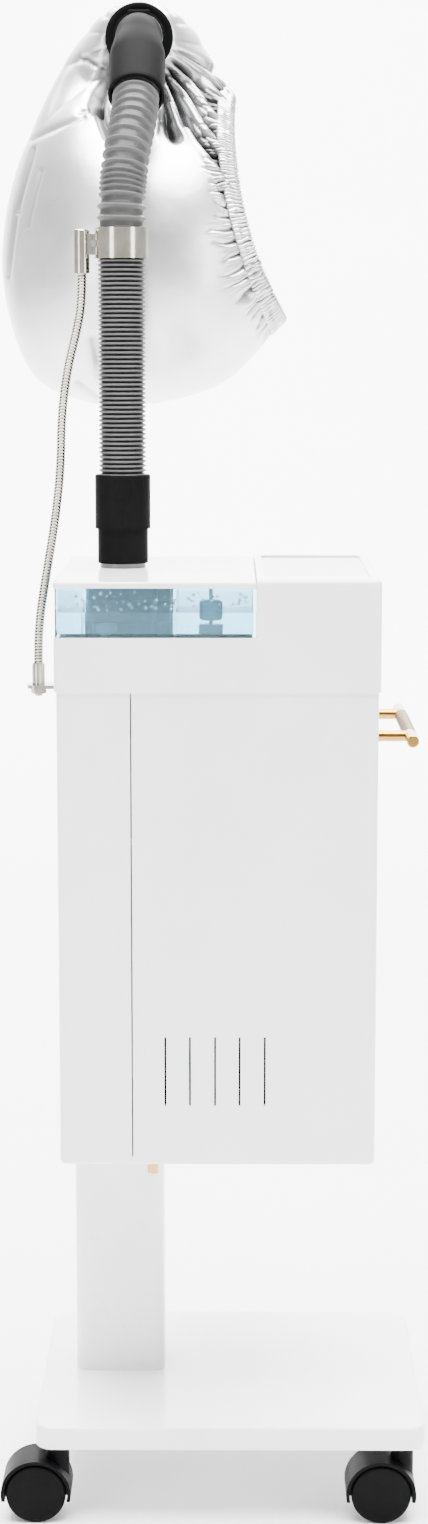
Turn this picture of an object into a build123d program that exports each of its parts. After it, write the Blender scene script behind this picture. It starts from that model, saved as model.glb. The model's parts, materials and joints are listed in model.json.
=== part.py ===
from build123d import *
import math
import os

# Facial / scalp steamer on a wheeled trolley, in millimetres.
# Origin: on the floor under the centre of the base plate. +X to the user's side, +Z up.

# ---- driving dimensions ----
RUN = 0.05                      # radial clearance of a running fit
GAP = 0.3                       # clearance between pieces that move apart

BASE_X, BASE_Y = 325.0, 267.0
BASE_Z0, BASE_Z1 = 64.0, 84.0

STEM_X, STEM_Y = 144.0, 115.0   # caster stems
STEM_R = 4.0
# How far each wheel trails from its stem along X; the far rear one is turned in under the plate.
TRAILS = {"front_left": -18.0, "front_right": -18.0, "rear_left": -18.0, "rear_right": 18.0}
WHEEL_R = 25.0
WHEEL_IN, WHEEL_OUT = 5.5, 18.5
AXLE_R = 3.0

COL_X0, COL_X1 = -134.5, -57.5
COL_Y0, COL_Y1 = -10.0, 50.0
COL_WALL = 2.5

BODY_X0, BODY_X1 = -139.6, 118.4
BODY_Y0, BODY_Y1 = -121.5, 128.0
BODY_Z0, BODY_Z1 = 306.5, 698.0
FLOOR_RIM = 7.5
EDGE_R, TOP_R = 5.0, 4.5        # rounding of upright edges, and of the cap's top edge
SEAM_X = -80.0
SEAM_GAP = 1.2
WALL = 3.0
VENT_XS = [-53.0, -33.0, -12.5, 7.5, 28.0]
VENT_Z0, VENT_Z1, VENT_W = 357.0, 415.0, 1.6
DRAIN, DRAIN_Z0 = (-66.0, -34.0), 272.5
INLET_Y, INLET_Z = 20.0, 350.0
SWITCH_Z = 392.0

CAP_OVER = 1.7                  # how far the cap stands proud of the cabinet
CAP_Z1 = 788.5
TANK_Z0, TANK_Z1 = 742.0, 780.9
TANK_NOTCH_X0, TANK_NOTCH_X1 = -121.0, -48.0
LID_Z0, LID_Z1 = 781.2, 786.2
SPLIT_X = 20.7                  # where the tank and lid meet the raised control part
PANEL = (26.0, 112.0, -104.0, 110.0)

VALVE = (-101.0, -98.0)
FLOAT = (-16.0, -98.0)

AXIS_X, AXIS_Y = -91.0, 20.0    # steam outlet and hose
HOSE_R, HOSE_BORE = 20.0, 16.5
CUFF_Z0, CUFF_STEP, CUFF_Z1 = 790.0, 819.0, 864.0
RING_Z0, RING_Z1 = 1042.0, 1067.0
NECK_R = 4.0                    # gooseneck
SOCKET_X = -124.0
CLAMP_SCREW_X = -114.0
BRACKET_X = -163.5
BRACKET_Z = 683.5

PIVOT_X, PIVOT_Z = -80.0, 1234.5  # hood swivel, axis along Y
SOCKET_R, ELBOW_R, ELBOW_BORE = 24.0, 20.5, 17.0
MOUTH_Y, MOUTH_Z = 70.0, 1177.5   # the elbow's mouth, which leans at 45 degrees
SOCKET_LONG, SOCKET_TAPER, SOCKET_DEEP = 46.0, 18.0, 18.0
SPIGOT_R = 22.0
FLANGE_Y = 146.0
COLLAR_Y0, COLLAR_Y1 = 152.3, 158.3
FABRIC = 2.5

HANDLE_X, HANDLE_Z, HANDLE_R = 148.0, 653.5, 5.0
HANDLE_Y0, HANDLE_Y1 = -90.0, 104.0
POST_YS = [-57.0, 71.0]

CAP_X0, CAP_X1 = BODY_X0 - CAP_OVER, BODY_X1 + CAP_OVER
CAP_Y0, CAP_Y1 = BODY_Y0 - CAP_OVER, BODY_Y1 + CAP_OVER

os.makedirs("parts", exist_ok=True)


def save(name, shape):
    export_step(shape, "parts/" + name + ".step")


# ---- shape helpers ----
def block(x0, x1, y0, y1, z0, z1):
    centre = Pos((x0 + x1) / 2, (y0 + y1) / 2, (z0 + z1) / 2)
    return centre * Box(x1 - x0, y1 - y0, z1 - z0)


def post_block(x0, x1, y0, y1, z0, z1, radius):
    solid = block(x0, x1, y0, y1, z0, z1)
    return fillet(solid.edges().filter_by(Axis.Z), radius)


def rod_z(x, y, z0, z1, radius):
    return Pos(x, y, (z0 + z1) / 2) * Cylinder(radius, z1 - z0)


def rod_y(x, z, y0, y1, radius):
    return Pos(x, (y0 + y1) / 2, z) * Rot(90, 0, 0) * Cylinder(radius, y1 - y0)


def rod_x(y, z, x0, x1, radius):
    return Pos((x0 + x1) / 2, y, z) * Rot(0, 90, 0) * Cylinder(radius, x1 - x0)


def ring_z(x, y, z0, z1, outer, inner):
    return rod_z(x, y, z0, z1, outer) - rod_z(x, y, z0 - 1, z1 + 1, inner)


def ring_y(x, z, y0, y1, outer, inner):
    return rod_y(x, z, y0, y1, outer) - rod_y(x, z, y0 - 1, y1 + 1, inner)


def joined(shapes):
    result = shapes[0]
    for shape in shapes[1:]:
        result = result + shape
    return result


def group(shapes):
    return Compound(children=shapes)


def tangent_radii(points):
    """Radius at each inner corner: 0.45 of the shorter run over the tangent of half the turn."""
    radii = []
    for a, b, c in zip(points, points[1:], points[2:]):
        run_in = Vector(*b) - Vector(*a)
        run_out = Vector(*c) - Vector(*b)
        half_turn = math.radians(run_in.get_angle(run_out)) / 2
        radii.append(0.45 * min(run_in.length, run_out.length) / math.tan(half_turn))
    return radii


def tube_path(points):
    return FilletPolyline(*points, radius=tangent_radii(points))


def swept(path, radius):
    start = Plane(origin=path @ 0, z_dir=path % 0)
    return sweep(start * Circle(radius), path=path)


def tube(points, outer, inner, label):
    path = tube_path(points)
    solid = swept(path, outer)
    if inner > 0:
        solid = solid - swept(path, inner)
    section = math.pi * (outer ** 2 - inner ** 2)
    radii = [round(radius) for radius in tangent_radii(points)]
    print(label, "length", round(path.length, 1), "radii", radii,
          "volume", round(solid.volume), "section x length", round(section * path.length))
    return solid


# ---- base plate and casters ----
def make_base():
    plate = post_block(-BASE_X / 2, BASE_X / 2, -BASE_Y / 2, BASE_Y / 2, BASE_Z0, BASE_Z1, 15)
    top = plate.edges().group_by(Axis.Z)[-1]
    bottom = plate.edges().group_by(Axis.Z)[0]
    plate = fillet(top + bottom, 2.5)
    for x in (-STEM_X, STEM_X):
        for y in (-STEM_Y, STEM_Y):
            plate -= rod_z(x, y, BASE_Z0 - 1, BASE_Z0 + 14, STEM_R)
    for x, y in foot_screw_places():
        plate -= rod_z(x, y, BASE_Z0 - 1, BASE_Z1 + 1, 2.5)
        plate -= rod_z(x, y, BASE_Z0 - 1, BASE_Z0 + 5, 5)
    save("base_plate", plate)


def foot_screw_places():
    middle_x, middle_y = (COL_X0 + COL_X1) / 2, (COL_Y0 + COL_Y1) / 2
    return [(middle_x + dx, middle_y + dy) for dx in (-25, 25) for dy in (-17, 17)]


def caster_hood(x, y, cx):
    cz = WHEEL_R
    outer_r, pocket_r = 29.2, 26.4
    web = WHEEL_IN - 0.5
    shape = rod_y(cx, cz, y - 19, y + 19, outer_r) + rod_z(x, y, 36, BASE_Z0 - GAP, 9.5)
    for side in (-1, 1):
        near, far = sorted((y + side * web, y + side * 30))
        shape -= rod_y(cx, cz, near, far, pocket_r)
    shape -= block(cx - 40, cx + 60, y - 30, y + 30, -10, cz - 6)
    shape -= rod_z(x, y, 43, BASE_Z0 + 1, STEM_R + RUN)
    shape -= rod_y(cx, cz, y - 30, y + 30, AXLE_R + RUN)
    return shape


def caster_wheel(cx, y, side):
    near, far = sorted((y + side * WHEEL_IN, y + side * WHEEL_OUT))
    disc = rod_y(cx, WHEEL_R, near, far, WHEEL_R)
    disc = fillet(disc.edges().filter_by(GeomType.CIRCLE), 2.5)
    return disc - rod_y(cx, WHEEL_R, near - 1, far + 1, AXLE_R)


def make_casters():
    corners = {"front_left": (1, -1), "front_right": (1, 1), "rear_left": (-1, -1), "rear_right": (-1, 1)}
    stems = []
    for corner, (sx, sy) in corners.items():
        x, y = sx * STEM_X, sy * STEM_Y
        cx = x + TRAILS[corner]
        name = "caster_" + corner
        stems.append(rod_z(x, y, 44, BASE_Z0 + 14, STEM_R))
        save(name + "_hood", caster_hood(x, y, cx))
        axle = rod_y(cx, WHEEL_R, y - WHEEL_OUT, y + WHEEL_OUT, AXLE_R)
        save(name + "_wheels", group([axle] + [caster_wheel(cx, y, side) for side in (-1, 1)]))
    save("caster_stems", group(stems))


# ---- column ----
def make_column():
    inner = (COL_X0 + COL_WALL, COL_X1 - COL_WALL, COL_Y0 + COL_WALL, COL_Y1 - COL_WALL)
    outer_tube = post_block(COL_X0, COL_X1, COL_Y0, COL_Y1, BASE_Z1, BODY_Z0, 12)
    save("column", outer_tube - post_block(*inner, BASE_Z1 - 1, BODY_Z0 + 1, 12 - COL_WALL))
    foot = post_block(*inner, BASE_Z1, BASE_Z1 + 14, 12 - COL_WALL)
    head = post_block(*inner, BODY_Z0 - 14, BODY_Z0, 12 - COL_WALL)
    screws = []
    for x, y in foot_screw_places():
        foot -= rod_z(x, y, BASE_Z1 - 1, BASE_Z1 + 12, 2.5)
        head -= rod_z(x, y, BODY_Z0 - 12, BODY_Z0 + 1, 2.5)
        foot_screw = rod_z(x, y, BASE_Z0 + 5, BASE_Z1 + 12, 2.5)
        screws.append(foot_screw + rod_z(x, y, BASE_Z0 + 1, BASE_Z0 + 5, 4.6))
        top = BODY_Z0 + WALL
        screws.append(rod_z(x, y, BODY_Z0 - 12, top, 2.5) + rod_z(x, y, top, top + 3, 4.6))
    save("column_inserts", group([foot, head]))
    save("column_screws", group(screws))


# ---- cabinet ----
def make_cabinet():
    shell_z0 = BODY_Z0 + FLOOR_RIM
    inside = (BODY_X0 + WALL, BODY_X1 - WALL, BODY_Y0 + WALL, BODY_Y1 - WALL)
    floor = post_block(BODY_X0, BODY_X1, BODY_Y0, BODY_Y1, BODY_Z0, shell_z0, EDGE_R)
    floor = fillet(floor.edges().group_by(Axis.Z)[0], TOP_R)
    floor -= block(*inside, BODY_Z0 + WALL, shell_z0 + 1)
    for x, y in foot_screw_places():
        floor -= rod_z(x, y, BODY_Z0 - 1, shell_z0, 2.5)
    floor -= rod_z(*DRAIN, BODY_Z0 - 1, shell_z0, 3.0)
    save("cabinet_floor", floor)

    rear = post_block(BODY_X0, BODY_X1, BODY_Y0, BODY_Y1, shell_z0, BODY_Z1, EDGE_R)
    rear -= post_block(*inside, shell_z0 - 1, BODY_Z1 + 1, 1.5)
    front = rear - block(-200, SEAM_X + SEAM_GAP / 2, -200, 200, 300, 700)
    rear -= block(SEAM_X - SEAM_GAP / 2, 200, -200, 200, 300, 700)
    rear -= block(BODY_X0 - 1, BODY_X0 + 4, INLET_Y - 13.6, INLET_Y + 13.6, INLET_Z - 10, INLET_Z + 10)
    rear -= block(BODY_X0 - 1, BODY_X0 + 4, INLET_Y - 6.5, INLET_Y + 6.5, SWITCH_Z - 10.5, SWITCH_Z + 10.5)
    save("rear_housing", rear)

    for x in VENT_XS:
        slot = block(x - VENT_W / 2, x + VENT_W / 2, BODY_Y0 - 2, BODY_Y1 + 2, VENT_Z0, VENT_Z1)
        front -= slot
    for y in POST_YS:
        front -= rod_x(y, HANDLE_Z, BODY_X1 - WALL - 1, BODY_X1 + 1, 2.0)
    save("front_shell", front)

    shelf = post_block(*inside, BODY_Z1 - 4, BODY_Z1, 1.5)
    shelf -= rod_z(AXIS_X, AXIS_Y, BODY_Z1 - 5, BODY_Z1 + 1, 15)
    shelf -= rod_z(*VALVE, BODY_Z1 - 5, BODY_Z1 + 1, 5)
    save("top_shelf", shelf)


# ---- power entry ----
def make_power_entry():
    face = BODY_X0
    flange = block(face - 1.6, face, INLET_Y - 16, INLET_Y + 16, INLET_Z - 13, INLET_Z + 13)
    flange = fillet(flange.edges().filter_by(Axis.X), 3)
    body = block(face, face + 26, INLET_Y - 13.5, INLET_Y + 13.5, INLET_Z - 9.9, INLET_Z + 9.9)
    socket = block(face - 2, face + 17, INLET_Y - 12, INLET_Y + 12, INLET_Z - 8, INLET_Z + 8)
    inlet = flange + body - socket
    for dy in (-7, 0, 7):
        inlet += block(face + 3, face + 18, INLET_Y + dy - 1, INLET_Y + dy + 1, INLET_Z - 2, INLET_Z + 2)
    save("power_inlet", inlet)

    bezel = block(face - 1.6, face, INLET_Y - 9, INLET_Y + 9, SWITCH_Z - 13, SWITCH_Z + 13)
    bezel = fillet(bezel.edges().filter_by(Axis.X), 2)
    bezel += block(face, face + 18, INLET_Y - 6.4, INLET_Y + 6.4, SWITCH_Z - 10.4, SWITCH_Z + 10.4)
    bezel -= block(face - 2, face + 14, INLET_Y - 5.2, INLET_Y + 5.2, SWITCH_Z - 9.2, SWITCH_Z + 9.2)
    save("switch_bezel", bezel)

    # the rocker rests on its lower half, seven degrees from level
    rocker = rod_y(0, 0, -4.8, 4.8, 9.0)
    rocker -= block(-20, -2.2, -10, 10, -20, 20)
    rocker -= block(2, 20, -10, 10, -20, 20)
    save("rocker_switch", Pos(face + 2.4, INLET_Y, SWITCH_Z) * Rot(0, 7, 0) * rocker)


# ---- cap, lid, tank ----
def make_cap():
    skirt_top = TANK_Z0 - GAP
    skirt = post_block(CAP_X0, CAP_X1, CAP_Y0, CAP_Y1, BODY_Z1, skirt_top, EDGE_R)
    raised = block(SPLIT_X, CAP_X1, CAP_Y0, CAP_Y1, skirt_top - 1, CAP_Z1)
    outside = raised.edges().filter_by(Axis.Z).group_by(Axis.X)[-1]
    raised = fillet(outside, EDGE_R)
    outer_top = [edge for edge in raised.edges().group_by(Axis.Z)[-1] if edge.center().X > SPLIT_X + 1]
    raised = fillet(outer_top, TOP_R)
    back = block(TANK_NOTCH_X0 + 2, TANK_NOTCH_X1 - 2, CAP_Y1 - 4, CAP_Y1, skirt_top - 1, LID_Z0)
    cap = skirt + raised + back
    inner_top = skirt_top - WALL
    cap -= block(CAP_X0 + WALL, CAP_X1 - WALL, CAP_Y0 + WALL, CAP_Y1 - WALL, BODY_Z1 - 1, inner_top)
    cap -= block(SPLIT_X + WALL, CAP_X1 - WALL, CAP_Y0 + WALL, CAP_Y1 - WALL, inner_top - 1, CAP_Z1 - 5)
    x0, x1, y0, y1 = PANEL
    cap -= post_block(x0, x1, y0, y1, CAP_Z1 - 3.2, CAP_Z1 + 1, 5)
    cap -= post_block(x0 + 8, x1 - 8, y0 + 8, y1 - 8, CAP_Z1 - 6, CAP_Z1, 5)
    cap -= rod_z(AXIS_X, AXIS_Y, skirt_top - 4, skirt_top + 1, 15)
    cap -= rod_z(*VALVE, skirt_top - 4, skirt_top + 1, 5)
    save("cap_housing", cap)

    save("control_panel", post_block(x0, x1, y0, y1, CAP_Z1 - 3.2, CAP_Z1 - 1.2, 5))
    board = block(x0 + 10, x1 - 10, y0 + 10, y1 - 10, CAP_Z1 - 6.4, CAP_Z1 - 4.8)
    parts = [block(x0 + 18 + 17 * i, x0 + 26 + 17 * i, -40, 30, CAP_Z1 - 12, CAP_Z1 - 6.4) for i in range(3)]
    save("control_board", joined([board] + parts))

    lid = block(CAP_X0, SPLIT_X - 0.4, CAP_Y0, CAP_Y1, LID_Z0, LID_Z1)
    lid = fillet(lid.edges().filter_by(Axis.Z).group_by(Axis.X)[0], EDGE_R)
    lid = fillet(lid.edges().group_by(Axis.Z)[-1], 2)
    lid -= rod_z(AXIS_X, AXIS_Y, LID_Z0 - 1, LID_Z1 + 1, 19.2)
    save("tank_lid", lid)


def tank_outline(inset):
    x0, x1 = CAP_X0 + 1.2 + inset, SPLIT_X - GAP - inset
    y0, y1 = CAP_Y0 + 0.4 + inset, CAP_Y1 - 1.2 - inset
    notch_x0, notch_x1 = TANK_NOTCH_X0 - inset, TANK_NOTCH_X1 + inset
    notch_y = -13.0 - inset
    points = [(x0, y0), (x1, y0), (x1, y1), (notch_x1, y1), (notch_x1, notch_y), (notch_x0, notch_y),
              (notch_x0, y1), (x0, y1)]
    return make_face(Polyline(*points, close=True))


def make_tank():
    tank_floor = TANK_Z0 + 2.5
    outer = extrude(Pos(0, 0, TANK_Z0) * tank_outline(0), amount=TANK_Z1 - TANK_Z0)
    inner = extrude(Pos(0, 0, tank_floor) * tank_outline(2.5), amount=TANK_Z1 - TANK_Z0)
    tank = outer - inner
    uprights = tank.edges().filter_by(Axis.Z)
    near_corner = uprights.sort_by(lambda edge: edge.center().X + edge.center().Y)[0]
    far_corner = uprights.sort_by(lambda edge: edge.center().X - edge.center().Y)[0]
    tank = fillet([near_corner, far_corner], TOP_R)
    tank -= rod_z(*VALVE, TANK_Z0 - 1, tank_floor + 1, 4)
    save("water_tank", tank)

    valve = rod_z(*VALVE, tank_floor, tank_floor + 6, 10) + rod_z(*VALVE, TANK_Z0, tank_floor, 4)
    save("tank_valve", valve)
    guide = rod_z(*FLOAT, tank_floor, tank_floor + 6, 9.6) + rod_z(*FLOAT, tank_floor, TANK_Z1 - 1, 1.5)
    save("float_guide", guide)
    disc = rod_z(*FLOAT, 754.0, 769.5, 9.3)
    disc = fillet(disc.edges().filter_by(GeomType.CIRCLE), 2.5)
    save("float", disc - rod_z(*FLOAT, 750, 775, 1.7))

    chamber = post_block(-119.3, -61.7, -11.0, 51.0, TANK_Z0 - GAP, LID_Z0, 6)
    chamber += block(-63, -50.9, 2, 38, TANK_Z0 - GAP, TANK_Z0 + 26)
    chamber -= rod_z(AXIS_X, AXIS_Y, TANK_Z0 - 1, LID_Z0 + 1, 15)
    chamber -= rod_z(AXIS_X, AXIS_Y, LID_Z0 - 8, LID_Z0 + 1, 19.2)
    save("mist_chamber", chamber)


# ---- steam works inside the cabinet ----
def make_works():
    low, high = 590.0, 680.0
    boiler = rod_z(AXIS_X + 22, AXIS_Y, low, high, 44)
    boiler = fillet(boiler.edges().filter_by(GeomType.CIRCLE), 6)
    save("steam_generator", boiler - rod_z(AXIS_X, AXIS_Y, high - 8, high + 1, 13))
    save("heater_plate", rod_z(AXIS_X + 22, AXIS_Y, low - 12, low, 30))
    tray = block(BODY_X0 + WALL, BODY_X1 - WALL, BODY_Y0 + WALL + 2, BODY_Y1 - WALL - 2, low - 15, low - 12)
    save("generator_shelf", tray)
    save("steam_tube", ring_z(AXIS_X, AXIS_Y, high - 8, TANK_Z0 - GAP, 13, 10.5))
    feed = [(VALVE[0], VALVE[1], TANK_Z0 - GAP), (VALVE[0], VALVE[1], 688.0), (-92.0, -82.0, 662.0),
            (-76.0, -54.0, 652.0), (-69.0, -24.9, 652.0)]
    save("feed_tube", tube(feed, 4.0, 2.5, "feed_tube"))
    fan_y = BODY_Y0 + WALL
    fan = block(-47.5, 22.5, fan_y, fan_y + 15, 351, 421) - rod_y(-12.5, 386, fan_y - 1, fan_y + 16, 32)
    fan += rod_y(-12.5, 386, fan_y + 2, fan_y + 13, 14)
    for k in range(4):
        spoke = Pos(-12.5, fan_y + 7.5, 386) * Rot(0, 45 + 90 * k, 0) * Pos(23, 0, 0) * Box(20, 6, 3)
        fan += spoke
    save("cooling_fan", fan)
    shelf_z = BODY_Z0 + WALL
    supply = block(10, 100, -50, 70, shelf_z, shelf_z + 45)
    save("power_supply", fillet(supply.edges().filter_by(Axis.Z), 3))
    plug = rod_z(*DRAIN, BODY_Z0 - 0.5, BODY_Z0 + WALL, 3.0) + rod_z(*DRAIN, DRAIN_Z0, BODY_Z0, 3.6)
    plug += rod_z(*DRAIN, DRAIN_Z0, DRAIN_Z0 + 10, 4.6)
    save("drain_plug", plug)


# ---- steam hose ----
def make_hose():
    low_z = LID_Z0 - 8
    save("outlet_collar", ring_z(AXIS_X, AXIS_Y, low_z, CUFF_Z0 + 22, 19.2, 15))
    cuff = rod_z(AXIS_X, AXIS_Y, CUFF_Z0, CUFF_STEP, 21.15)
    cuff += rod_z(AXIS_X, AXIS_Y, CUFF_STEP, CUFF_Z1, 23.25)
    cuff = fillet(cuff.edges().filter_by(GeomType.CIRCLE).group_by(Axis.Z)[-1], 1.5)
    cuff -= rod_z(AXIS_X, AXIS_Y, CUFF_Z0 - 1, CUFF_Z0 + 22, 19.2)
    cuff -= rod_z(AXIS_X, AXIS_Y, CUFF_Z0 + 21, CUFF_Z1 - 29, HOSE_BORE)
    cuff -= rod_z(AXIS_X, AXIS_Y, CUFF_Z1 - 30, CUFF_Z1 + 1, HOSE_R)
    save("hose_cuff", cuff)
    middle = (RING_Z0 + RING_Z1) / 2
    save("steam_hose_lower", ring_z(AXIS_X, AXIS_Y, CUFF_Z1 - 30, middle, HOSE_R, HOSE_BORE))
    upper = [(AXIS_X, AXIS_Y, middle), (AXIS_X, AXIS_Y, 1090.0), (-87.0, 31.0, 1130.0), on_elbow_axis(-20),
             on_elbow_axis(SOCKET_DEEP)]
    save("steam_hose_upper", tube(upper, HOSE_R, HOSE_BORE, "steam_hose_upper"))


def make_clamp_and_neck():
    ring = ring_z(AXIS_X, AXIS_Y, RING_Z0, RING_Z1, 21.9, HOSE_R)
    ring += block(SOCKET_X + 5, AXIS_X - 20.5, AXIS_Y - 6, AXIS_Y + 6, RING_Z0 + 3, RING_Z1 - 5)
    ring -= block(AXIS_X - 24, AXIS_X - 22.5, AXIS_Y - 7, AXIS_Y - 1, RING_Z0, RING_Z1)
    ring -= rod_y(CLAMP_SCREW_X, 1054, AXIS_Y - 20, AXIS_Y + 20, 1.6)
    ring -= rod_z(SOCKET_X, AXIS_Y, RING_Z0, RING_Z1, 6.5)
    ring -= rod_z(AXIS_X, AXIS_Y, RING_Z0 - 1, RING_Z1 + 1, HOSE_R)
    ring -= rod_y(CLAMP_SCREW_X, 1054, AXIS_Y - 20, AXIS_Y - 6, 3)
    save("clamp_ring", ring)
    screw = rod_y(CLAMP_SCREW_X, 1054, AXIS_Y - 7, AXIS_Y + 6, 1.6)
    screw += rod_y(CLAMP_SCREW_X, 1054, AXIS_Y - 9, AXIS_Y - 6, 2.8)
    save("clamp_screw", screw)
    socket = rod_z(SOCKET_X, AXIS_Y, 1030, 1066, 6.5)
    socket = fillet(socket.edges().group_by(Axis.Z)[-1], 2)
    save("gooseneck_socket", socket)

    route = [(BRACKET_X, AXIS_Y, 704.0), (BRACKET_X, AXIS_Y, 733.0), (-157.0, AXIS_Y, 775.0),
             (-148.5, AXIS_Y, 822.0), (-143.0, AXIS_Y, 868.0), (-142.0, AXIS_Y, 912.0),
             (-137.0, AXIS_Y, 950.0), (-129.0, AXIS_Y, 981.0), (SOCKET_X, AXIS_Y, 1006.0),
             (SOCKET_X, AXIS_Y, 1030.0)]
    save("gooseneck_arm", tube(route, NECK_R, 0, "gooseneck_arm"))

    ferrule = rod_z(BRACKET_X, AXIS_Y, BRACKET_Z + 3, 704, 5.4)
    ferrule += rod_z(BRACKET_X, AXIS_Y, BRACKET_Z - 7, BRACKET_Z + 3, 3.0)
    save("gooseneck_ferrule", ferrule)
    plate = block(-173.0, BODY_X0, AXIS_Y - 12, AXIS_Y + 12, BRACKET_Z, BRACKET_Z + 3)
    plate = fillet(plate.edges().filter_by(Axis.Z).group_by(Axis.X)[0], 8)
    plate += block(BODY_X0 - 2.5, BODY_X0, AXIS_Y - 12, AXIS_Y + 12, BRACKET_Z - 28, BRACKET_Z)
    plate -= rod_z(BRACKET_X, AXIS_Y, BRACKET_Z - 1, BRACKET_Z + 4, 3.0)
    save("gooseneck_bracket", plate)
    nut = Pos(BRACKET_X, AXIS_Y, BRACKET_Z - 5) * extrude(RegularPolygon(6.4, 6), amount=5)
    save("gooseneck_nut", nut - rod_z(BRACKET_X, AXIS_Y, BRACKET_Z - 6, BRACKET_Z + 1, 3.0))
    heads = []
    for dz in (-10, -21):
        head = rod_x(AXIS_Y, BRACKET_Z + dz, BODY_X0 - 4.7, BODY_X0 - 2.5, 3.4)
        heads.append(head)
    save("bracket_screws", group(heads))


# ---- elbow, flange and hood ----
def on_elbow_axis(distance):
    """The point this far up the elbow's leaning axis from its mouth."""
    step = distance / math.sqrt(2)
    return (PIVOT_X, MOUTH_Y + step, MOUTH_Z + step)


def make_elbow():
    corner = (PIVOT_X, MOUTH_Y + PIVOT_Z - MOUTH_Z, PIVOT_Z)
    path = FilletPolyline(on_elbow_axis(0), corner, (PIVOT_X, FLANGE_Y + 2, PIVOT_Z), radius=38)
    mouth = Plane(origin=on_elbow_axis(0), z_dir=(0, 1, 1))
    elbow = swept(path, ELBOW_R)
    elbow += mouth * Pos(0, 0, SOCKET_LONG / 2) * Cylinder(SOCKET_R, SOCKET_LONG)
    elbow += mouth * Pos(0, 0, SOCKET_LONG + SOCKET_TAPER / 2) * Cone(SOCKET_R, ELBOW_R, SOCKET_TAPER)
    elbow += rod_y(PIVOT_X, PIVOT_Z, FLANGE_Y + 1, 163.5, SPIGOT_R)
    elbow -= swept(path, ELBOW_BORE)
    elbow -= mouth * Pos(0, 0, SOCKET_DEEP / 2 - 1) * Cylinder(HOSE_R + 0.4, SOCKET_DEEP + 2)
    elbow -= rod_y(PIVOT_X, PIVOT_Z, FLANGE_Y, 165, ELBOW_BORE)
    save("elbow", elbow)
    flange = ring_y(PIVOT_X, PIVOT_Z, FLANGE_Y + 2, COLLAR_Y0 - GAP, 29.5, SPIGOT_R)
    save("flange_ring", flange)
    clip = ring_y(PIVOT_X, PIVOT_Z, COLLAR_Y1 + FABRIC + GAP, 163.5, 23.2, SPIGOT_R)
    save("retaining_clip", clip)


# Horizontal sections of the hood: height, centre X and Y, half-length in X, half-depth in Y.
HOOD_SECTIONS = [
    (919.0, -96.0, 190.0, 26.0, 24.0),
    (924.5, -93.0, 190.0, 48.0, 45.0),
    (935.5, -89.0, 190.0, 77.0, 71.0),
    (955.0, -84.0, 190.0, 99.0, 92.0),
    (990.0, -78.0, 190.0, 119.0, 111.0),
    (1035.0, -75.0, 190.0, 128.0, 120.0),
    (1080.0, -75.0, 193.0, 125.5, 117.0),
    (1125.0, -77.0, 201.0, 113.5, 106.0),
    (1165.0, -80.0, 215.0, 96.0, 88.0),
    (1200.0, -83.0, 229.0, 77.0, 66.0),
    (1230.0, -84.0, 233.0, 60.0, 52.0),
    (1252.0, -82.0, 233.0, 41.0, 36.0),
    (1265.0, -81.0, 231.0, 20.0, 20.0),
]
# The face opening's edge seen from the side, as X and Z: an arc, hollow towards the back.
RIM = [(2.0, 1194.0), (10.0, 1086.0), (44.0, 996.0)]
BAND = 4.0
SLIVER = 100.0                  # cubic millimetres: smaller offcuts of the hood are dropped
PANEL_HEIGHTS = [900.0, 950.0, 980.0, 1010.0, 1050.0, 1090.0, 1128.0, 1165.0, 1215.0, 1300.0]
SECTOR = 30                     # degrees


def egg(inset):
    faces = []
    for z, x, y, half_x, half_y in HOOD_SECTIONS:
        z_in = z + inset * (1080 - z) / 170
        faces.append(Pos(x, y, z_in) * Ellipse(half_x - inset, half_y - inset))
    return loft(faces)


def beyond_rim(shift):
    """Everything to the user's side of the face opening's edge, moved along X."""
    top, middle, low = [(x + shift, z) for x, z in RIM]
    far, under, over = 300.0, 900.0, 1400.0
    outline = Plane.XZ * ThreePointArc(top, middle, low)
    corners = [(low[0] + 45, under), (far, under), (far, over), (top[0] - 10, over)]
    outline += Plane.XZ * Polyline(low, *corners, top)
    return extrude(make_face(outline), amount=500, both=True)


def wedges(solid, frame, angles):
    """The solid cut into sectors about the frame's Z axis, between one angle in degrees and the next."""
    reach = 500.0
    pieces = []
    for pair in zip(angles, angles[1:]):
        turns = [math.radians(angle) for angle in pair]
        corners = [(reach * math.cos(turn), reach * math.sin(turn)) for turn in turns]
        wedge = extrude(frame * make_face(Polyline((0, 0), *corners, close=True)), amount=reach, both=True)
        pieces.extend(piece for piece in (solid & wedge).solids() if piece.volume > SLIVER)
    return pieces


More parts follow.
